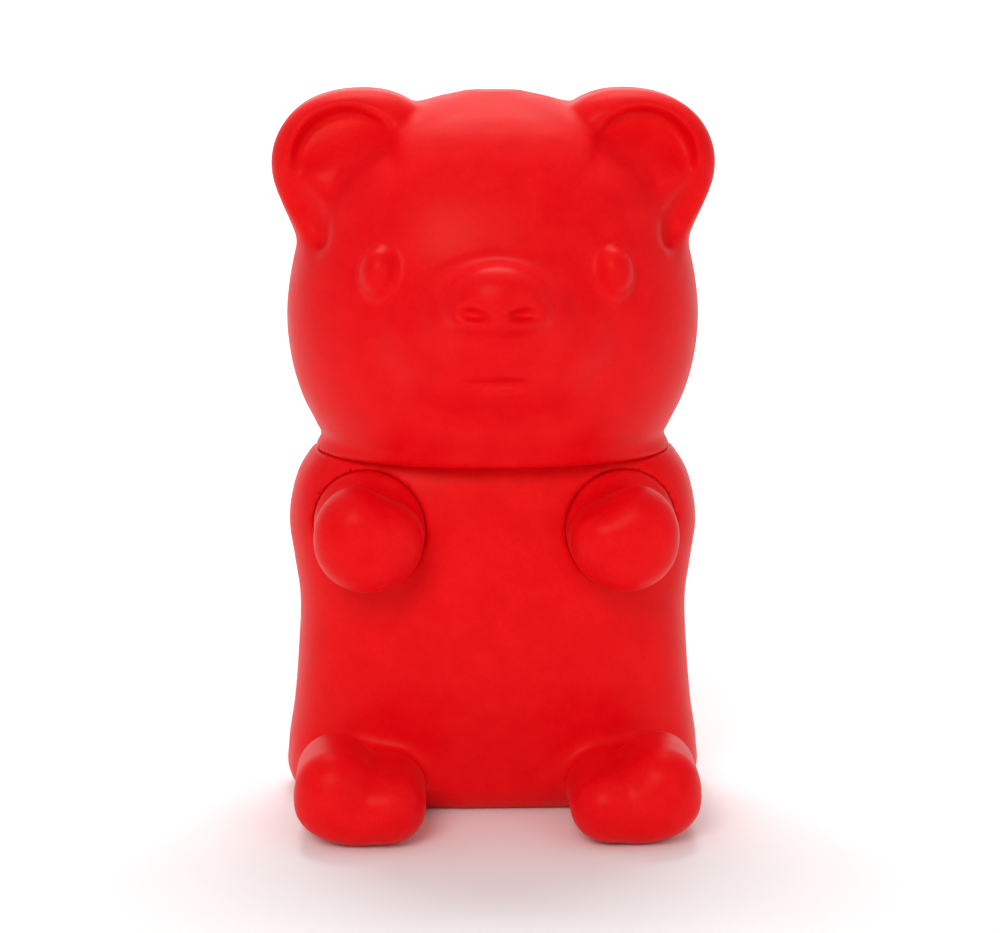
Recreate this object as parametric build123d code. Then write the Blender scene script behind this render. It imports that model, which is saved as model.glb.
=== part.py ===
from build123d import *

import os
from math import cos, pi, sin

# A bear figure in cast soft vinyl, 200 mm tall. The head, the torso with its feet, and the two
# arms are separate hollow castings. The head and both arms turn on hard plastic joints: a peg
# glued into the casting's open end, a socket glued into the torso, a friction washer between
# them, and a snap clip on the peg inside the torso.
# The figure faces -Y. Sizes are in millimetres.

os.makedirs("parts", exist_ok=True)

# Castings
WALL = 3.0  # vinyl thickness
SEAM = 0.4  # gap between two castings at a turning joint
SECTION_POWER = 2.6  # superellipse power of the horizontal sections
SECTION_POINTS = 24
WIDEST_Y = 6.0  # depth at which the torso and head are widest: the sides taper to the front

# Horizontal sections: height, half width, front depth, back depth
TORSO = [
    (0.0, 51.0, 17.0, 19.0),
    (2.0, 55.0, 21.2, 23.0),
    (6.0, 57.6, 24.4, 25.6),
    (13.0, 58.4, 26.0, 26.8),
    (26.0, 56.8, 26.8, 27.3),
    (42.0, 55.4, 27.0, 27.3),
    (58.0, 54.8, 26.6, 27.2),
    (69.0, 56.2, 26.2, 27.0),
    (79.0, 57.4, 25.8, 26.6),
    (87.0, 56.4, 25.0, 26.0),
    (94.0, 54.0, 23.8, 24.8),
    (98.0, 51.6, 22.8, 23.6),
    (101.0, 49.4, 21.8, 22.6),
]
HEAD = [
    (99.0, 51.0, 31.0, 22.8),
    (101.0, 49.4, 32.0, 22.8),
    (103.4, 48.4, 33.0, 23.0),
    (107.0, 50.0, 34.6, 24.4),
    (113.5, 53.2, 37.0, 26.6),
    (121.0, 55.8, 39.0, 28.2),
    (129.0, 57.3, 40.4, 29.0),
    (137.0, 57.8, 41.2, 29.3),
    (147.0, 56.8, 41.0, 29.3),
    (157.0, 55.0, 39.8, 29.0),
    (167.0, 52.4, 37.0, 28.0),
    (176.0, 48.6, 32.8, 26.2),
    (184.0, 43.2, 27.2, 24.0),
    (190.0, 36.4, 20.8, 21.6),
    (194.5, 27.4, 13.8, 18.8),
    (197.4, 17.6, 7.0, 15.4),
    (199.0, 8.0, 1.4, 11.4),
]
NECK_Z = 99.3  # height of the seam between head and torso

# Ears
EAR_X, EAR_Z = 41.4, 180.4
EAR_RADIUS = 19.6
EAR_DEPTH = 26.0
EAR_EDGE = 9.0
EAR_BOWL = (14.6, 12.0, 13.6)
EAR_BOWL_AT = (41.0, -17.0, 180.0)
EAR_HOLLOW_RADIUS = 15.0
EAR_HOLLOW_DEPTH = 9.0

# Face
MUZZLE = (27.0, 12.5, 18.5)
MUZZLE_AT = (0.0, -38.0, 138.5)
NOSE = (14.2, 8.0, 8.6)
NOSE_AT = (0.0, -49.0, 147.2)
NOSTRIL = (3.6, 2.6, 2.0)
NOSTRIL_AT = (6.5, -55.2, 143.6)
EYE = (4.3, 5.0, 6.2)
EYE_AT = (31.5, -36.4, 154.0)
MOUTH = (9.2, 2.4, 1.5)
MOUTH_AT = (0.0, -45.2, 124.4)

# Feet: oval stubs cast with the torso
FOOT_X, FOOT_Z = 37.6, 14.7
FOOT_HALF_WIDTH, FOOT_HALF_HEIGHT = 17.2, 14.9
FOOT_ROOT_Y = 2.0
FOOT_TIP_Y = -60.0
FOOT_EDGE = 11.0  # rounding of the tip

# Arms: round stubs that plug into round pockets at the torso's front corners
ARM_X, ARM_Z = 34.6, 81.3
ARM_RADIUS = 15.4
ARM_SEAM_Y = -9.0
ARM_TIP_Y = -47.0
ARM_EDGE = 11.5
ARM_POCKET_CLEARANCE = 0.2
THUMB_CUT_RADIUS = 11.0  # notch between the fingers and the thumb
THUMB_CUT_AT = (20.4, -47.0, 98.2)

# Joint hardware
HARD_WALL = 2.0  # hard plastic thickness
WASHER = 0.6
STEM_CLEARANCE = 0.08
GLUE_GAP = 0.05
CLIP = 1.2
CLIP_FREE_PLAY = 0.2
STEM_END = 1.6  # stem beyond the clip
NECK_OPENING, NECK_STEM = 16.0, 8.0
ARM_OPENING, ARM_STEM = 10.0, 5.0
FLANGE_OVERHANG = 1.8

# Base opening and its plug
BASE_LENGTH, BASE_WIDTH = 58.0, 26.0
BASE_Y = 2.0
PLUG_RECESS = 0.5
PLUG_LIP = 2.0

# The row's origin is under the middle of the whole figure's depth
HEAD_BACK = max(back for _, _, _, back in HEAD)
TO_ROW_FRAME = Pos(0, -(FOOT_TIP_Y + HEAD_BACK) / 2, 0)


def signed_power(value, power):
    """value to a power, keeping its sign."""
    return abs(value) ** power * (1 if value >= 0 else -1)


def section(z, half_width, front, back):
    """A rounded horizontal section, widest at WIDEST_Y, as a face."""
    points = []
    for i in range(SECTION_POINTS):
        angle = 2 * pi * i / SECTION_POINTS
        across = signed_power(cos(angle), 2 / SECTION_POWER)
        along = signed_power(sin(angle), 2 / SECTION_POWER)
        depth = back - WIDEST_Y if along > 0 else front + WIDEST_Y
        points.append((half_width * across, WIDEST_Y + depth * along, z))
    return Face(Wire(Edge.make_spline([Vector(p) for p in points], periodic=True)))


def stack(stations):
    """A smooth solid through horizontal sections."""
    return loft([section(*station) for station in stations])


def inset(stations, wall, low, high):
    """The stations between two heights, moved in by a wall."""
    return [
        (z, width - wall, front - wall, back - wall)
        for z, width, front, back in stations
        if low <= z <= high
    ]


def ellipsoid(half_sizes, at):
    """An ellipsoid with these half sizes, centred at a point."""
    return Pos(*at) * scale(Sphere(1), by=half_sizes)


def mirrored(part):
    """A part and its mirror image across the figure's middle."""
    return [part, mirror(part, about=Plane.YZ)]


def along_y(x, z, radius, y_from, y_to):
    """A cylinder along Y between two depths."""
    length = abs(y_to - y_from)
    return Pos(x, (y_from + y_to) / 2, z) * Rot(90, 0, 0) * Cylinder(radius, length)


def stub(radius, edge, length):
    """A round stub along local Z with a rounded tip."""
    outline = Polyline((radius, length - edge), (radius, 0), (0, 0), (0, length), (radius - edge, length))
    tip = RadiusArc((radius - edge, length), (radius, length - edge), edge)
    return revolve(Plane.XZ * make_face(outline + tip), Axis.Z)


def foot_solid(wall=0.0):
    """The +X foot stub in place, moved in by a wall."""
    half_width, half_height = FOOT_HALF_WIDTH - wall, FOOT_HALF_HEIGHT - wall
    length = FOOT_ROOT_Y - FOOT_TIP_Y - wall
    oval = scale(stub(half_width, FOOT_EDGE - wall, length), by=(1, half_height / half_width, 1))
    return Pos(FOOT_X, FOOT_ROOT_Y, FOOT_Z) * Rot(90, 0, 0) * oval


def ear_solid():
    """One round ear with soft edges."""
    disc = along_y(EAR_X, EAR_Z, EAR_RADIUS, -EAR_DEPTH / 2, EAR_DEPTH / 2)
    return fillet(disc.edges().filter_by(GeomType.CIRCLE), EAR_EDGE)


def head_shell():
    """The head casting: ears, muzzle, nose, eyes and mouth, hollow, with a round neck opening."""
    seam = NECK_Z + SEAM / 2
    outer = stack(HEAD)
    for ear in mirrored(ear_solid()):
        outer += ear
    outer += ellipsoid(MUZZLE, MUZZLE_AT)
    outer += ellipsoid(NOSE, NOSE_AT)
    for eye in mirrored(ellipsoid(EYE, EYE_AT)):
        outer += eye
    for bowl in mirrored(ellipsoid(EAR_BOWL, EAR_BOWL_AT)):
        outer -= bowl
    for nostril in mirrored(ellipsoid(NOSTRIL, NOSTRIL_AT)):
        outer -= nostril
    outer -= ellipsoid(MOUTH, MOUTH_AT)
    outer -= Pos(0, 0, seam - 5) * Box(300, 300, 10)
    floor = seam + WALL
    inner = stack(inset(HEAD, WALL, 100, 196))
    bowl_jacket = tuple(size + WALL for size in EAR_BOWL)
    for jacket in mirrored(ellipsoid(bowl_jacket, EAR_BOWL_AT)):
        inner -= jacket
    inner -= Pos(0, 0, floor - 10) * Box(300, 300, 20)
    half = EAR_HOLLOW_DEPTH / 2
    for hollow in mirrored(along_y(EAR_X, EAR_Z, EAR_HOLLOW_RADIUS, half - 2, half + 5)):
        inner += hollow
    opening = Pos(0, 0, floor) * Cylinder(NECK_OPENING + GLUE_GAP, 3 * WALL)
    return outer - inner - opening


def torso_shell():
    """The torso casting with its feet, hollow, with arm pockets, joint openings and a base opening."""
    seam = NECK_Z - SEAM / 2
    outer = stack(TORSO)
    inner = stack(inset(TORSO, WALL, 1, 99))
    for foot in mirrored(foot_solid()):
        outer += foot
    for foot in mirrored(foot_solid(WALL)):
        inner += foot
    pocket_radius = ARM_RADIUS + ARM_POCKET_CLEARANCE
    pocket_wall = ARM_SEAM_Y + SEAM / 2
    for pocket in mirrored(along_y(ARM_X, ARM_Z, pocket_radius, pocket_wall, -60)):
        outer -= pocket
    for jacket in mirrored(along_y(ARM_X, ARM_Z, pocket_radius + WALL, pocket_wall + WALL, -60)):
        inner -= jacket
    outer -= Pos(0, 0, seam + 5) * Box(300, 300, 10)
    outer -= Pos(0, 0, -5) * Box(300, 300, 10)
    inner -= Pos(0, 0, WALL - 10) * Box(300, 300, 20)
    inner -= Pos(0, 0, seam - WALL + 10) * Box(300, 300, 20)
    shell = outer - inner
    shell -= Pos(0, 0, seam) * Cylinder(NECK_OPENING + GLUE_GAP, 3 * WALL)
    for hole in mirrored(along_y(ARM_X, ARM_Z, ARM_OPENING + GLUE_GAP, pocket_wall - 1, pocket_wall + 5)):
        shell -= hole
    shell -= Pos(0, BASE_Y, 0) * extrude(SlotOverall(BASE_LENGTH, BASE_WIDTH), WALL + 1, both=True)
    return shell


def arm_solid(wall=0.0):
    """The +X arm stub in place, moved in by a wall except at the seam."""
    root = ARM_SEAM_Y - SEAM / 2
    solid = stub(ARM_RADIUS - wall, ARM_EDGE - wall, root - ARM_TIP_Y - wall)
    return Pos(ARM_X, root, ARM_Z) * Rot(90, 0, 0) * solid


def arm_shell():
    """The +X arm casting: a round stub with a lower thumb side, hollow, open towards the torso."""
    thumb_cut = Pos(*THUMB_CUT_AT) * Sphere(THUMB_CUT_RADIUS)
    thumb_jacket = Pos(*THUMB_CUT_AT) * Sphere(THUMB_CUT_RADIUS + WALL)
    seam = ARM_SEAM_Y - SEAM / 2
    outer = arm_solid() - thumb_cut
    inner = arm_solid(WALL) - thumb_jacket
    inner -= along_y(ARM_X, ARM_Z, ARM_RADIUS * 2, seam + 1, seam - WALL)
    opening = along_y(ARM_X, ARM_Z, ARM_OPENING + GLUE_GAP, seam + 1, seam - WALL - 1)
    return outer - inner - opening


def ring(outer, inner, low, high):
    """A ring about local Z between two heights."""
    middle, height = (low + high) / 2, high - low
    return Pos(0, 0, middle) * (Cylinder(outer, height) - Cylinder(inner, height + 1))


def peg(opening, stem):
    """Turning half of a joint: a flanged disc in the casting's opening, with a grooved hollow stem.

    Local Z points from the torso into the turning casting, with zero at the middle of the seam."""
    face = SEAM / 2
    groove_top = clip_height()
    end = groove_top - CLIP - STEM_END
    disc = Pos(0, 0, face + WALL / 2) * Cylinder(opening, WALL)
    flange = Pos(0, 0, face + WALL + HARD_WALL / 2) * Cylinder(opening + FLANGE_OVERHANG, HARD_WALL)
    shaft = ring(stem, stem - HARD_WALL, end, face)
    shaft = chamfer(shaft.edges().filter_by(GeomType.CIRCLE).sort_by(Axis.Z)[:2], 0.5)
    groove = ring(stem + 1, stem - HARD_WALL / 3, groove_top - CLIP - 0.1, groove_top + 0.1)
    drain = Cylinder(stem - HARD_WALL, 8 * WALL)
    return disc + flange + shaft - groove - drain


def socket(opening, stem):
    """Fixed half of a joint: a flanged bush in the torso's wall, recessed for the washer."""
    face = -SEAM / 2
    body = Pos(0, 0, face - (WASHER + WALL) / 2) * Cylinder(opening, WALL - WASHER)
    flange = Pos(0, 0, face - WALL - HARD_WALL / 2) * Cylinder(opening + FLANGE_OVERHANG, HARD_WALL)
    return body + flange - Cylinder(stem + STEM_CLEARANCE, 8 * WALL)


def washer(opening, stem):
    """Friction washer in the socket's recess, across the seam to the peg's disc."""
    return ring(opening - 1.2, stem + 0.4, -SEAM / 2 - WASHER, SEAM / 2 - GLUE_GAP)


def clip_height():
    """Upper face of the snap clip, below the socket's flange."""
    return -SEAM / 2 - WALL - HARD_WALL - CLIP_FREE_PLAY


def clip(stem):
    """Open snap ring in the stem's groove."""
    top = clip_height()
    bore = stem - HARD_WALL / 3
    mouth = Pos(stem + 2, 0, top) * Box(stem + 6, 0.9 * stem, 4 * CLIP)
    return ring(stem + 2.6, bore, top - CLIP, top) - mouth


def base_plug():
    """Plug for the base opening: a plate just inside the base, with a lip over the casting's wall."""
    plate = Pos(0, BASE_Y, PLUG_RECESS) * extrude(
        SlotOverall(BASE_LENGTH - 0.2, BASE_WIDTH - 0.2), WALL - PLUG_RECESS
    )
    lip = Pos(0, BASE_Y, WALL) * extrude(
        SlotOverall(BASE_LENGTH + 2 * PLUG_LIP, BASE_WIDTH + 2 * PLUG_LIP), HARD_WALL
    )
    hollow = Pos(0, BASE_Y, PLUG_RECESS + HARD_WALL) * extrude(
        SlotOverall(BASE_LENGTH - 3 * HARD_WALL, BASE_WIDTH - 3 * HARD_WALL), 3 * WALL
    )
    return plate + lip - hollow


def build():
    """Every node's solid, in the figure's own coordinates."""
    neck = Pos(0, 0, NECK_Z)
    right = Pos(ARM_X, ARM_SEAM_Y, ARM_Z) * Rot(90, 0, 0)
    nodes = {
        "head_shell": head_shell(),
        "torso_shell": torso_shell(),
        "base_plug": base_plug(),
        "neck_peg": neck * peg(NECK_OPENING, NECK_STEM),
        "neck_socket": neck * socket(NECK_OPENING, NECK_STEM),
        "neck_washer": neck * washer(NECK_OPENING, NECK_STEM),
        "neck_clip": neck * clip(NECK_STEM),
    }
    arm = {
        "shell": arm_shell(),
        "peg": right * peg(ARM_OPENING, ARM_STEM),
        "socket": right * socket(ARM_OPENING, ARM_STEM),
        "washer": right * washer(ARM_OPENING, ARM_STEM),
        "clip": right * clip(ARM_STEM),
    }
    for name, part in arm.items():
        plus_x, minus_x = mirrored(part)
        nodes[f"left_arm_{name}"] = plus_x
        nodes[f"right_arm_{name}"] = minus_x
    return nodes


for node, solid in build().items():
    export_step(TO_ROW_FRAME * solid, f"parts/{node}.step")
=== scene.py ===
"""Cast vinyl bear figure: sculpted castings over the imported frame, materials, studio and camera.

Each casting is a smooth solid described as a distance field, in millimetres, with x across, y in depth
(the figure faces -y) and z up. A field is negative inside. The castings are symmetrical, so most
features are made once, at x = |x|, and show on both sides.
"""

import math

import bpy
import numpy as np
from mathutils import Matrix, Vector


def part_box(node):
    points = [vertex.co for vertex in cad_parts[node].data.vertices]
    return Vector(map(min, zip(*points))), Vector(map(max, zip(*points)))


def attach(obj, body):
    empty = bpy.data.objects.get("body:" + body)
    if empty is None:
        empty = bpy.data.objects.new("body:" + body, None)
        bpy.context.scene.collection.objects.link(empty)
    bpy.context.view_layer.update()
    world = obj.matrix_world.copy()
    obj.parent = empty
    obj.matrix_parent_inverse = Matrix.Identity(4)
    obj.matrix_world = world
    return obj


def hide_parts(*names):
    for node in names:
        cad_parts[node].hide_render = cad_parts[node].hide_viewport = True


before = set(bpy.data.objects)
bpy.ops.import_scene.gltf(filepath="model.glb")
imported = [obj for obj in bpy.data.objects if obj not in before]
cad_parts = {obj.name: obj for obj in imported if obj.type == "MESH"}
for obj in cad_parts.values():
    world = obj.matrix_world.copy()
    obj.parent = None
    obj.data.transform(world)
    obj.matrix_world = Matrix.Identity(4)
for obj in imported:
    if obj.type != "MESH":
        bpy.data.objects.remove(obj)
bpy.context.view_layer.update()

MM = 0.001
SOCKET_FRONT, SOCKET_BACK = (corner.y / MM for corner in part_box("neck_socket"))
DEPTH_SHIFT = (SOCKET_FRONT + SOCKET_BACK) / 2  # from the figure's own depth axis to the frame's
WALL = 3.0
MESH_STEP = 1.0
ARM_STEP = 0.8  # finer mesh for the arms

# Seams, from the CAD pieces
NECK_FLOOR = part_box("head_shell")[0].z / MM
TORSO_TOP = NECK_FLOOR - 0.2
ARM_LOW, ARM_HIGH = (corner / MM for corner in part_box("left_arm_shell"))
ARM_X, ARM_Z = (ARM_LOW.x + ARM_HIGH.x) / 2, (ARM_LOW.z + ARM_HIGH.z) / 2
ARM_RADIUS = (ARM_HIGH.x - ARM_LOW.x) / 2
ARM_ROOT = ARM_HIGH.y - DEPTH_SHIFT
ARM_TIP = ARM_LOW.y - DEPTH_SHIFT
POCKET_RADIUS = ARM_RADIUS + 0.12
POCKET_FLOOR = ARM_ROOT + 0.4
NECK_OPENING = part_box("neck_peg")[1].x / MM - 1.75
ARM_OPENING = NECK_OPENING - 6.0

# Profiles: height, half width, front depth, back depth
TORSO = [
    (-2.0, 50.0, 15.0, 16.0),
    (2.0, 56.4, 21.4, 22.6),
    (6.0, 58.6, 24.6, 25.4),
    (13.0, 58.6, 26.2, 26.8),
    (26.0, 56.8, 27.0, 27.3),
    (42.0, 55.4, 27.2, 27.3),
    (58.0, 54.9, 27.0, 27.2),
    (69.0, 56.4, 26.8, 27.0),
    (79.0, 57.6, 26.2, 26.6),
    (87.0, 56.6, 25.2, 26.0),
    (94.0, 54.2, 23.6, 24.8),
    (98.0, 51.6, 22.2, 23.6),
    (103.0, 47.6, 20.0, 21.6),
]
HEAD = [
    (97.0, 52.0, 29.0, 22.8),
    (101.0, 49.4, 32.0, 22.8),
    (103.4, 48.4, 33.2, 23.0),
    (107.0, 49.9, 34.8, 24.4),
    (113.5, 53.1, 37.0, 26.6),
    (121.0, 55.6, 39.0, 28.2),
    (129.0, 57.1, 40.4, 29.0),
    (137.0, 57.6, 41.2, 29.2),
    (147.0, 56.7, 41.0, 29.2),
    (157.0, 54.6, 39.6, 29.0),
    (167.0, 51.6, 36.6, 28.0),
    (176.0, 47.4, 32.2, 26.2),
    (184.0, 41.4, 26.6, 24.0),
    (190.0, 33.6, 20.4, 21.4),
    (194.5, 23.8, 13.6, 18.4),
    (197.4, 15.6, 6.8, 15.0),
    (199.2, 7.4, 1.2, 11.0),
]
HEAD_POWER, HEAD_DRAFT = 2.45, 0.10
TORSO_POWER, TORSO_DRAFT = 3.2, 0.08
HOLLOW_TOP = 190.0  # the casting is thicker over the crown

# Rounding of the seams' edges
SEAM_EDGE, ARM_EDGE = 1.0, 0.8

# Ellipsoids: centre, half sizes, tilt. Those off the middle plane are given for +x
EAR_ROOT = ((46.0, 1.0, 170.0), (10.4, 12.0, 13.0), 8.0)
EAR_GROOVE = ((51.2, -15.0, 167.5), (3.4, 7.0, 10.0), -26.0)
EAR_FILL = ((42.0, -10.0, 181.0), (25.0, 28.0, 25.0))  # kept solid, behind the ear's cup
MUZZLE = ((0, -35.0, 136.5), (26.0, 12.6, 18.0))
SNOUT = ((0, -42.5, 143.0), (18.4, 9.4, 13.0))
NOSE = ((0, -47.6, 148.0), (12.2, 7.8, 8.8))
LIP = ((0, -49.4, 143.0), (12.8, 5.2, 3.8))
NOSTRIL = ((7.2, -56.0, 144.3), (5.0, 4.6, 2.0), 4.0)
EYE = ((31.2, -33.6, 153.2), (5.2, 5.6, 6.8), 8.0)
MOUTH = ((0, -47.4, 124.4), (10.4, 4.5, 1.7))
BELLY = ((0, -10.0, 44.0), (38.0, 20.5, 36.0))

# The ear's disc: middle depth, half depth, rounding
EAR_MIDDLE, EAR_HALF_DEPTH, EAR_EDGE = 1.5, 14.5, 9.0

# Stubs on the +x side: centre (x, z), half width and height, tip depth, rounding, root depth
FOOT_SOLE = ((37.4, 10.0), (16.7, 9.9), -59.2, 9.4, 0.0)
FOOT_OUTER = ((43.8, 15.4), (10.9, 11.0), -59.0, 10.0, -24.0)
FOOT_INNER = ((28.8, 10.6), (8.8, 9.2), -59.6, 8.4, -24.0)
FOOT_HOLLOW = ((38.2, 9.6), (10.0, 5.6), -54.0, 5.0, 0.0)
PALM = ((35.0, 79.4), (14.6, 13.0), ARM_TIP, 10.8, ARM_ROOT + 30)
FINGER = ((38.9, 84.9), (10.4, 10.8), ARM_TIP + 0.4, 9.6, -26.0)
THUMB = ((27.6, 80.4), (8.0, 8.4), ARM_TIP + 0.2, 7.6, -26.0)
ARM_ROUND = ((ARM_X, ARM_Z), (ARM_RADIUS, ARM_RADIUS), ARM_TIP, 11.0, ARM_ROOT + 30)
ARM_HOLLOW = ((35.0, 80.4), (10.0, 9.0), ARM_TIP + 1.6 * WALL, 6.0, ARM_ROOT - WALL)


# ---------------------------------------------------------------- field tools


def join(a, b, blend):
    """Union with a rounded inner corner."""
    h = np.clip(0.5 + 0.5 * (b - a) / blend, 0, 1)
    return b + (a - b) * h - blend * h * (1 - h)


def carve(a, b, blend):
    """a without b, with a rounded rim."""
    return -join(-a, b, blend)


def clip(a, b, blend):
    """The part of a inside b, with a rounded edge."""
    return -join(-a, -b, blend)


def ellipsoid(x, y, z, at, sizes, tilt=0.0):
    """Ellipsoid with these half sizes, tilted about the depth axis by degrees."""
    x, y, z = x - at[0], y - at[1], z - at[2]
    if tilt:
        c, s = math.cos(math.radians(tilt)), math.sin(math.radians(tilt))
        x, z = x * c + z * s, z * c - x * s
    near = np.sqrt((x / sizes[0]) ** 2 + (y / sizes[1]) ** 2 + (z / sizes[2]) ** 2)
    slope = np.sqrt((x / sizes[0] ** 2) ** 2 + (y / sizes[1] ** 2) ** 2 + (z / sizes[2] ** 2) ** 2)
    return near * (near - 1) / (slope + 1e-6)


def rounded(a, b, edge):
    """The part inside both a and b, with its outer edge rounded to this radius."""
    a, b = a + edge, b + edge
    return np.minimum(np.maximum(a, b), 0) + np.hypot(np.maximum(a, 0), np.maximum(b, 0)) - edge


def stub(x, y, z, at, sizes, tip, edge, root):
    """Oval stub along -y, from depth root to depth tip: at is (x, z), sizes are half width and height."""
    near = np.hypot((x - at[0]) / sizes[0], (z - at[1]) / sizes[1])
    across = (near - 1) * min(sizes)
    along = np.maximum(tip - y, y - root)
    return rounded(across, along, edge)


def smooth_column(stations, column, z):
    """One column of a profile at any height, through a smooth curve."""
    heights = np.array([row[0] for row in stations])
    values = np.array([row[column] for row in stations])
    steps, rises = np.diff(heights), np.diff(values)
    slopes = rises / steps
    inner = (slopes[:-1] * steps[1:] + slopes[1:] * steps[:-1]) / (steps[:-1] + steps[1:])
    ends = np.concatenate([[slopes[0]], inner, [slopes[-1]]])
    z = np.clip(z, heights[0], heights[-1])
    i = np.clip(np.searchsorted(heights, z, side="right") - 1, 0, len(steps) - 1)
    t = (z - heights[i]) / steps[i]
    first = values[i] * (1 + 2 * t) * (1 - t) ** 2 + values[i + 1] * t * t * (3 - 2 * t)
    return first + steps[i] * t * (1 - t) * (ends[i] * (1 - t) - ends[i + 1] * t)


def profiled(x, y, z, stations, power, draft, middle=6.0):
    """A body whose sections come from a profile; its sides lean in towards the front by draft."""
    width, front, back = (smooth_column(stations, column, z) for column in (1, 2, 3))
    ahead = y < middle
    depth = np.where(ahead, front + middle, back - middle)
    reach = np.abs(y - middle) / depth
    width = width * (1 - np.where(ahead, draft, 0) * np.clip(reach, 0, 1.2) ** 1.5)
    size = ((np.abs(x) / width) ** power + reach**power) ** (1 / power)
    radius = np.hypot(x, y - middle)
    radial = radius * (1 - 1 / np.maximum(size, 0.05))
    low, high = stations[0][0], stations[-1][0]
    return np.maximum(radial, np.maximum(low - z, z - high))


def inset(stations, wall):
    """A profile moved in by a wall."""
    return [(z, width - wall, front - wall, back - wall) for z, width, front, back in stations]


# ---------------------------------------------------------------- the sculpted shapes


def ear(x, y, z, base):
    """Adds one round ear to the base, with a cup whose floor runs out forward over the temple."""
    outline = join(np.hypot(x - 41.8, z - 179.8) - 19.1, np.hypot(x - 34.4, z - 177.6) - 22.3, 3.0)
    disc = rounded(outline, np.abs(y - EAR_MIDDLE) - EAR_HALF_DEPTH, EAR_EDGE)
    root = ellipsoid(x, y, z, *EAR_ROOT)
    body = join(join(base, disc, 4.0), root, 5.0)
    inward = 2.0 - 0.4 * (x - 41.0) - 0.92 * (z - 181.0)
    floor = -1.5 - 1.0 * (inward + np.hypot(inward, 9.0))
    cup = carve(np.hypot(x - 40.2, z - 180.4) - 15.0, 0.6 * (floor - y), 4.0)
    body = carve(body, cup, 2.4)
    groove = ellipsoid(x, y, z, *EAR_GROOVE)
    return carve(body, groove, 5.0)


def head_form(x, y, z):
    """The head's outer surface."""
    x = np.abs(x)
    form = profiled(x, y, z, HEAD, HEAD_POWER, HEAD_DRAFT)
    form = ear(x, y, z, form)
    muzzle = ellipsoid(x, y, z, *MUZZLE)
    form = join(form, muzzle, 10.0)
    snout = ellipsoid(x, y, z, *SNOUT)
    form = join(form, snout, 5.0)
    nose = ellipsoid(x, y, z, *NOSE)
    lip = ellipsoid(x, y, z, *LIP)
    form = join(form, join(nose, lip, 5.0), 3.0)
    nostril = ellipsoid(x, y, z, *NOSTRIL)
    form = carve(form, nostril, 2.0)
    eye = ellipsoid(x, y, z, *EYE)
    form = join(form, eye, 2.6)
    mouth = ellipsoid(x, y, z, *MOUTH)
    form = carve(form, mouth, 1.6)
    return form


def foot_lobes(x, y, z):
    """One foot, on the +x side: a flattened stub with a high outer and a low inner lobe."""
    sole = stub(x, y, z, *FOOT_SOLE)
    outer = stub(x, y, z, *FOOT_OUTER)
    inner = stub(x, y, z, *FOOT_INNER)
    return join(join(sole, outer, 3.0), inner, 2.6)


def trunk(x, y, z):
    """The torso's outer surface without its feet."""
    form = profiled(x, y, z, TORSO, TORSO_POWER, TORSO_DRAFT)
    belly = ellipsoid(x, y, z, *BELLY)
    return join(form, belly, 8.0)


def torso_form(x, y, z):
    """The torso's outer surface, with its feet."""
    x = np.abs(x)
    return np.maximum(join(trunk(x, y, z), foot_lobes(x, y, z), 5.5), 0.02 - z)


def arm_envelope(x, y, z):
    """The round stub that holds one arm, on the +x side."""
    return stub(x, y, z, *ARM_ROUND)


def arm_shape(x, y, z):
    """One arm's face, on the +x side: a two-lobed paw that grows out of the chest's surface."""
    palm = stub(x, y, z, *PALM)
    finger = stub(x, y, z, *FINGER)
    thumb = stub(x, y, z, *THUMB)
    paw = join(join(palm, finger, 2.5), thumb, 3.0)
    paw = clip(paw, arm_envelope(x, y, z), 2.0)
    return join(paw, trunk(x, y, z) + 0.1, 8.0)


def arm_form(x, y, z):
    """One arm's outer surface, on the +x side."""
    return np.maximum(clip(arm_shape(x, y, z), arm_envelope(x, y, z), ARM_EDGE), y - ARM_ROOT)


def head_casting(x, y, z):
    """The head as a hollow casting, open at the neck."""
    outer = clip(head_form(x, y, z), NECK_FLOOR - z, SEAM_EDGE)
    below = [station for station in HEAD if station[0] < HOLLOW_TOP]
    hollow = profiled(x, y, z, inset(below, 1.4 * WALL), HEAD_POWER, HEAD_DRAFT)
    hollow = np.maximum(np.maximum(hollow, NECK_FLOOR + WALL - z), z - HOLLOW_TOP + 2 * WALL)
    ear_root = ellipsoid(np.abs(x), y, z, *EAR_FILL)
    hollow = carve(hollow, ear_root, 4.0)
    shell = np.maximum(outer, -hollow)
    return np.maximum(shell, -np.maximum(np.hypot(x, y) - NECK_OPENING, z - NECK_FLOOR - WALL - 2))


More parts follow.
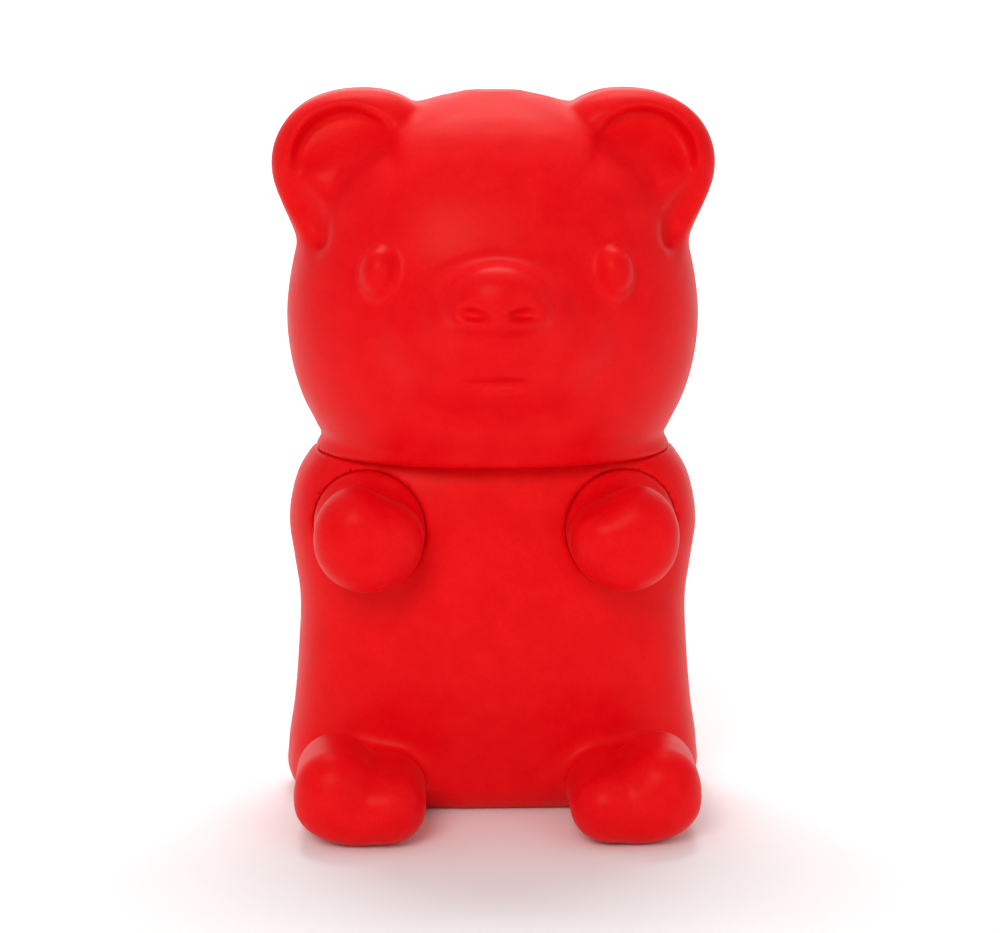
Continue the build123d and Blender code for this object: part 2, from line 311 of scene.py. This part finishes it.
def torso_casting(x, y, z):
    """The torso and feet as a hollow casting, with arm pockets and its joint and base openings."""
    side = np.abs(x)
    axis_distance = np.hypot(side - ARM_X, z - ARM_Z)
    pocket = np.maximum(axis_distance - POCKET_RADIUS, y - POCKET_FLOOR)
    jacket = np.maximum(axis_distance - POCKET_RADIUS - WALL, y - POCKET_FLOOR - WALL)
    pocketed = carve(torso_form(x, y, z), pocket, ARM_EDGE)
    outer = np.maximum(clip(pocketed, z - TORSO_TOP, SEAM_EDGE), -z)
    hollow = profiled(x, y, z, inset(TORSO, WALL), TORSO_POWER, TORSO_DRAFT)
    foot_hollow = stub(side, y, z, *FOOT_HOLLOW)
    hollow = np.maximum(join(hollow, foot_hollow, 2.0), -jacket)
    hollow = np.maximum(hollow, np.maximum(z - TORSO_TOP + WALL, WALL - z))
    shell = np.maximum(outer, -hollow)
    neck = np.maximum(np.hypot(x, y) - NECK_OPENING, TORSO_TOP - WALL - 2 - z)
    arm_hole = np.maximum(axis_distance - ARM_OPENING, np.abs(y - POCKET_FLOOR - WALL / 2) - WALL)
    slot = np.hypot(np.maximum(side - 16.0, 0), y - 2.0) - 13.0
    base = np.maximum(slot, z - WALL - 1)
    return np.maximum(shell, -np.minimum(np.minimum(neck, arm_hole), base))


def arm_casting(x, y, z):
    """The +x arm as a hollow casting, open at its root."""
    hollow = stub(x, y, z, *ARM_HOLLOW)
    shell = np.maximum(arm_form(x, y, z), -hollow)
    axis_distance = np.hypot(x - ARM_X, z - ARM_Z)
    return np.maximum(shell, -np.maximum(axis_distance - ARM_OPENING, ARM_ROOT - WALL - 2 - y))


# ---------------------------------------------------------------- from field to mesh


def skin(field, low, high, step):
    """Points and quads of the field's zero surface: one point in each grid cell that it crosses."""
    axes = [np.arange(a, b + step, step, dtype=np.float32) for a, b in zip(low, high)]
    value = field(*np.meshgrid(*axes, indexing="ij"))
    inside = value < 0
    cells = tuple(n - 1 for n in value.shape)
    corners = [(i, j, k) for i in (0, 1) for j in (0, 1) for k in (0, 1)]
    count = np.zeros(cells, np.int8)
    for i, j, k in corners:
        count += inside[i:cells[0] + i, j:cells[1] + j, k:cells[2] + k]
    active = np.argwhere((count > 0) & (count < 8))
    number = np.full(cells, -1)
    number[tuple(active.T)] = np.arange(len(active))

    total, hits = np.zeros((len(active), 3)), np.zeros(len(active))
    for axis in range(3):
        for corner in corners:
            if corner[axis]:
                continue
            start = active + corner
            end = start.copy()
            end[:, axis] += 1
            a, b = value[tuple(start.T)], value[tuple(end.T)]
            crossed = (a < 0) != (b < 0)
            part = np.where(crossed, a / np.where(crossed, a - b, 1), 0)
            point = start.astype(float)
            point[:, axis] += part
            total += point * crossed[:, None]
            hits += crossed
    points = np.array(low) + step * total / hits[:, None]

    quads = []
    for axis in range(3):
        u, v = (axis + 1) % 3, (axis + 2) % 3
        ahead = np.roll(inside, -1, axis)
        crossing = inside != ahead
        start = np.argwhere(crossing)
        ok = (start[:, axis] < cells[axis]) & (start[:, u] > 0) & (start[:, v] > 0)
        start = start[ok & (start[:, u] < cells[u]) & (start[:, v] < cells[v])]
        around = []
        for du, dv in ((0, 0), (-1, 0), (-1, -1), (0, -1)):
            cell = start.copy()
            cell[:, u] += du
            cell[:, v] += dv
            around.append(number[tuple(cell.T)])
        quad = np.stack(around, 1)
        leaving = inside[tuple(start.T)]
        quad[~leaving] = quad[~leaving][:, ::-1]
        quads.append(quad)
    return points, np.concatenate(quads)


def towards(field, points):
    """The step from each point to the field's zero surface."""
    x, y, z = points.T
    h = 0.04
    slope = np.stack([
        field(x + h, y, z) - field(x - h, y, z),
        field(x, y + h, z) - field(x, y - h, z),
        field(x, y, z + h) - field(x, y, z - h),
    ], 1) / (2 * h)
    return -slope * (field(x, y, z) / np.maximum((slope**2).sum(1), 0.05))[:, None]


def settle(field, points, quads, step, rounds=4):
    """Evens out the points along the surface, and puts each exactly on it."""
    edges = np.concatenate([quads[:, [i, (i + 1) % 4]] for i in range(4)])
    for turn in range(rounds):
        if turn < rounds - 1:
            near = np.zeros_like(points)
            for axis in range(3):
                near[:, axis] = np.bincount(edges[:, 0], points[edges[:, 1], axis], len(points))
            points = 0.5 * points + 0.5 * near / np.bincount(edges[:, 0], minlength=len(points))[:, None]
        for _ in range(2):
            move = towards(field, points)
            length = np.linalg.norm(move, axis=1, keepdims=True)
            points = points + move * np.minimum(1, 0.4 * step / np.maximum(length, 1e-9))
    return points


def casting(name, field, low, high, step, body, node, mirrored=False):
    """A mesh object from a field, riding on a body in place of its CAD node."""
    points, quads = skin(field, low, high, step)
    points = settle(field, points, quads, step)
    if mirrored:
        points = points * (-1, 1, 1)
        quads = quads[:, ::-1]
    mesh = bpy.data.meshes.new(name)
    mesh.from_pydata(((points + (0, DEPTH_SHIFT, 0)) * MM).tolist(), [], quads.tolist())
    mesh.polygons.foreach_set("use_smooth", [True] * len(mesh.polygons))
    mesh.update()
    obj = bpy.data.objects.new(name, mesh)
    bpy.context.scene.collection.objects.link(obj)
    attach(obj, body)
    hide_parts(node)
    return obj


# ---------------------------------------------------------------- materials


class Nodes:
    """A short way to write node trees."""

    def __init__(self, owner):
        owner.use_nodes = True
        self.tree = owner.node_tree
        self.tree.nodes.clear()

    def add(self, kind, inputs=None, **settings):
        node = self.tree.nodes.new(kind)
        for key, value in settings.items():
            setattr(node, key, value)
        for key, value in (inputs or {}).items():
            if isinstance(value, bpy.types.NodeSocket):
                self.tree.links.new(value, node.inputs[key])
            else:
                node.inputs[key].default_value = value
        return node


def vinyl(name, tone, deep, sheen):
    """Soft satin cast vinyl: faint mottling, a fine moulded grain, and a dusty sheen at grazing angles."""
    material = bpy.data.materials.new(name)
    n = Nodes(material)
    where = n.add("ShaderNodeTexCoord").outputs["Object"]
    cloud = n.add("ShaderNodeTexNoise", {"Vector": where, "Scale": 130.0, "Detail": 5.0, "Roughness": 0.6})
    speck = n.add("ShaderNodeTexNoise", {"Vector": where, "Scale": 1100.0, "Detail": 4.0, "Roughness": 0.8})
    grain = n.add("ShaderNodeTexNoise", {"Vector": where, "Scale": 1700.0, "Detail": 2.0})
    swell = n.add("ShaderNodeTexNoise", {"Vector": where, "Scale": 110.0, "Detail": 2.0})
    both = n.add("ShaderNodeMath", {0: cloud.outputs["Fac"], 1: speck.outputs["Fac"]}, operation="MULTIPLY")
    spread = n.add("ShaderNodeMapRange", {"Value": both.outputs[0], "From Min": 0.17, "From Max": 0.36})
    colour = n.add("ShaderNodeMix", {0: spread.outputs[0], 6: deep, 7: tone}, data_type="RGBA")
    rough = n.add("ShaderNodeMapRange", {"Value": cloud.outputs["Fac"], "From Min": 0.3, "From Max": 0.7,
                                         "To Min": 0.4, "To Max": 0.52})
    low = n.add("ShaderNodeBump", {"Strength": 0.12, "Distance": 0.001, "Height": swell.outputs["Fac"]})
    bump = n.add("ShaderNodeBump", {"Strength": 0.10, "Distance": 0.0002, "Height": grain.outputs["Fac"],
                                    "Normal": low.outputs[0]})
    shader = n.add("ShaderNodeBsdfPrincipled", {
        "Base Color": colour.outputs[2],
        "Roughness": rough.outputs[0],
        "Normal": bump.outputs[0],
        "IOR": 1.45,
        "Specular IOR Level": 0.1,
        "Specular Tint": (1.0, 0.8, 0.4, 1.0),
        "Coat Weight": 0.05,
        "Coat Roughness": 0.32,
        "Coat Tint": (1.0, 0.9, 0.8, 1.0),
        "Sheen Weight": sheen,
        "Sheen Roughness": 0.25,
        "Sheen Tint": (1.0, 0.64, 0.56, 1.0),
    })
    n.add("ShaderNodeOutputMaterial", {"Surface": shader.outputs[0]})
    return material


def hardware(name, tone, roughness, metallic=0.0):
    """Plain moulded or metal joint hardware with a fine grain."""
    material = bpy.data.materials.new(name)
    n = Nodes(material)
    where = n.add("ShaderNodeTexCoord").outputs["Object"]
    grain = n.add("ShaderNodeTexNoise", {"Vector": where, "Scale": 1500.0, "Detail": 2.0})
    cloud = n.add("ShaderNodeTexNoise", {"Vector": where, "Scale": 120.0, "Detail": 3.0})
    rough = n.add("ShaderNodeMapRange", {"Value": cloud.outputs["Fac"], "To Min": roughness - 0.08,
                                         "To Max": roughness + 0.08})
    bump = n.add("ShaderNodeBump", {"Strength": 0.1, "Distance": 0.0001, "Height": grain.outputs["Fac"]})
    shader = n.add("ShaderNodeBsdfPrincipled", {
        "Base Color": tone, "Roughness": rough.outputs[0], "Normal": bump.outputs[0], "Metallic": metallic,
    })
    n.add("ShaderNodeOutputMaterial", {"Surface": shader.outputs[0]})
    return material


def paint(obj, material):
    """Gives the object this material alone."""
    obj.data.materials.clear()
    obj.data.materials.append(material)


# ---------------------------------------------------------------- studio and camera


def studio():
    """A white world, dimmer in front of the figure than behind it, and a white paper sweep."""
    world = bpy.data.worlds.new("studio")
    n = Nodes(world)
    where = n.add("ShaderNodeTexCoord").outputs["Generated"]
    parts = n.add("ShaderNodeSeparateXYZ", {0: where})
    ahead = n.add("ShaderNodeMapRange", {"Value": parts.outputs["Y"], "From Min": -0.75, "From Max": -0.1,
                                         "To Min": 0.28, "To Max": 0.52}, interpolation_type="SMOOTHSTEP")
    light = n.add("ShaderNodeBackground", {"Color": (1, 1, 1, 1), "Strength": ahead.outputs[0]})
    n.add("ShaderNodeOutputWorld", {"Surface": light.outputs[0]})
    bpy.context.scene.world = world

    half, near, bend, tall, radius = 3.0, -3.0, 1.2, 2.6, 0.8
    arc = [math.pi / 2 * i / 16 for i in range(17)]
    outline = [(near, 0.0)] + [(bend + math.sin(a) * radius, (1 - math.cos(a)) * radius) for a in arc]
    outline.append((bend + radius, tall))
    points = [(x, y, z) for y, z in outline for x in (-half, half)]
    quads = [(2 * i, 2 * i + 1, 2 * i + 3, 2 * i + 2) for i in range(len(outline) - 1)]
    mesh = bpy.data.meshes.new("sweep")
    mesh.from_pydata(points, [], quads)
    mesh.polygons.foreach_set("use_smooth", [True] * len(quads))
    sweep = bpy.data.objects.new("sweep", mesh)
    bpy.context.scene.collection.objects.link(sweep)
    material = bpy.data.materials.new("sweep_paper")
    n = Nodes(material)
    paper = n.add("ShaderNodeBsdfPrincipled", {"Base Color": (0.95, 0.95, 0.95, 1), "Roughness": 0.9,
                                               "Specular IOR Level": 0.1})
    n.add("ShaderNodeOutputMaterial", {"Surface": paper.outputs[0]})
    paint(sweep, material)


def soft_light(name, at, target, size, power):
    """A round area light aimed at a point."""
    light = bpy.data.lights.new(name, "AREA")
    light.shape = "DISK"
    light.size = size
    light.energy = power
    obj = bpy.data.objects.new(name, light)
    obj.location = at
    obj.rotation_euler = (Vector(target) - Vector(at)).to_track_quat("-Z", "Y").to_euler()
    bpy.context.scene.collection.objects.link(obj)


def camera():
    """A long lens, a little above the figure and a touch to its right."""
    azimuth, elevation, distance = math.radians(-1.5), math.radians(10.5), 0.8
    target = Vector((0, (DEPTH_SHIFT - 5) * MM, 97 * MM))
    back = Vector((math.sin(azimuth) * math.cos(elevation), -math.cos(azimuth) * math.cos(elevation),
                   math.sin(elevation)))
    data = bpy.data.cameras.new("camera")
    data.lens = 103.08
    data.sensor_width = 36.0
    data.sensor_fit = "HORIZONTAL"
    data.shift_x = 0.0063
    data.shift_y = -0.0063
    data.clip_start = 0.01
    obj = bpy.data.objects.new("camera", data)
    obj.location = target + back * distance
    obj.rotation_euler = (-back).to_track_quat("-Z", "Y").to_euler()
    bpy.context.scene.collection.objects.link(obj)
    bpy.context.scene.camera = obj


# ---------------------------------------------------------------- the figure

step = MESH_STEP * 1.0
red = vinyl("vinyl_red", (0.86, 0.004, 0.008, 1), (0.79, 0.0004, 0.005, 1), 0.04)
plug_red = vinyl("vinyl_plug_red", (0.76, 0.004, 0.007, 1), (0.66, 0.002, 0.006, 1), 0.2)
hard_red = hardware("hard_plastic_red", (0.6, 0.006, 0.01, 1), 0.42)
nylon = hardware("nylon_natural", (0.78, 0.78, 0.73, 1), 0.5)
steel = hardware("spring_steel", (0.55, 0.55, 0.56, 1), 0.3, 1.0)

castings = [
    casting("head_casting", head_casting, (-64, -62, 98), (64, 34, 203), step, "head", "head_shell"),
    casting("torso_casting", torso_casting, (-64, -64, -3), (64, 34, 104), step, "torso", "torso_shell"),
]
arm_low, arm_high = (ARM_X - 18, ARM_TIP - 3, ARM_Z - 18), (ARM_X + 18, ARM_ROOT + 3, ARM_Z + 18)
for side in ("left", "right"):
    arm = (f"{side}_arm_casting", arm_casting, arm_low, arm_high, step * ARM_STEP)
    castings.append(casting(*arm, f"{side}_arm", f"{side}_arm_shell", mirrored=side == "right"))
for obj in castings:
    paint(obj, red)

paint(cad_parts["base_plug"], plug_red)
for joint in ("neck", "left_arm", "right_arm"):
    paint(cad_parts[f"{joint}_peg"], hard_red)
    paint(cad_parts[f"{joint}_socket"], hard_red)
    paint(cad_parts[f"{joint}_washer"], nylon)
    paint(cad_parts[f"{joint}_clip"], steel)

studio()
soft_light("key", (-0.5, -1.7, 1.2), (0, 0, 0.1), 1.0, 17.5)
soft_light("fill", (1.1, -1.5, 0.6), (0, 0, 0.1), 1.2, 3.5)
soft_light("backdrop", (0, 0.9, 1.9), (0, 2.0, 0.3), 1.2, 34.0)
camera()
bpy.context.scene.view_settings.view_transform = "Standard"
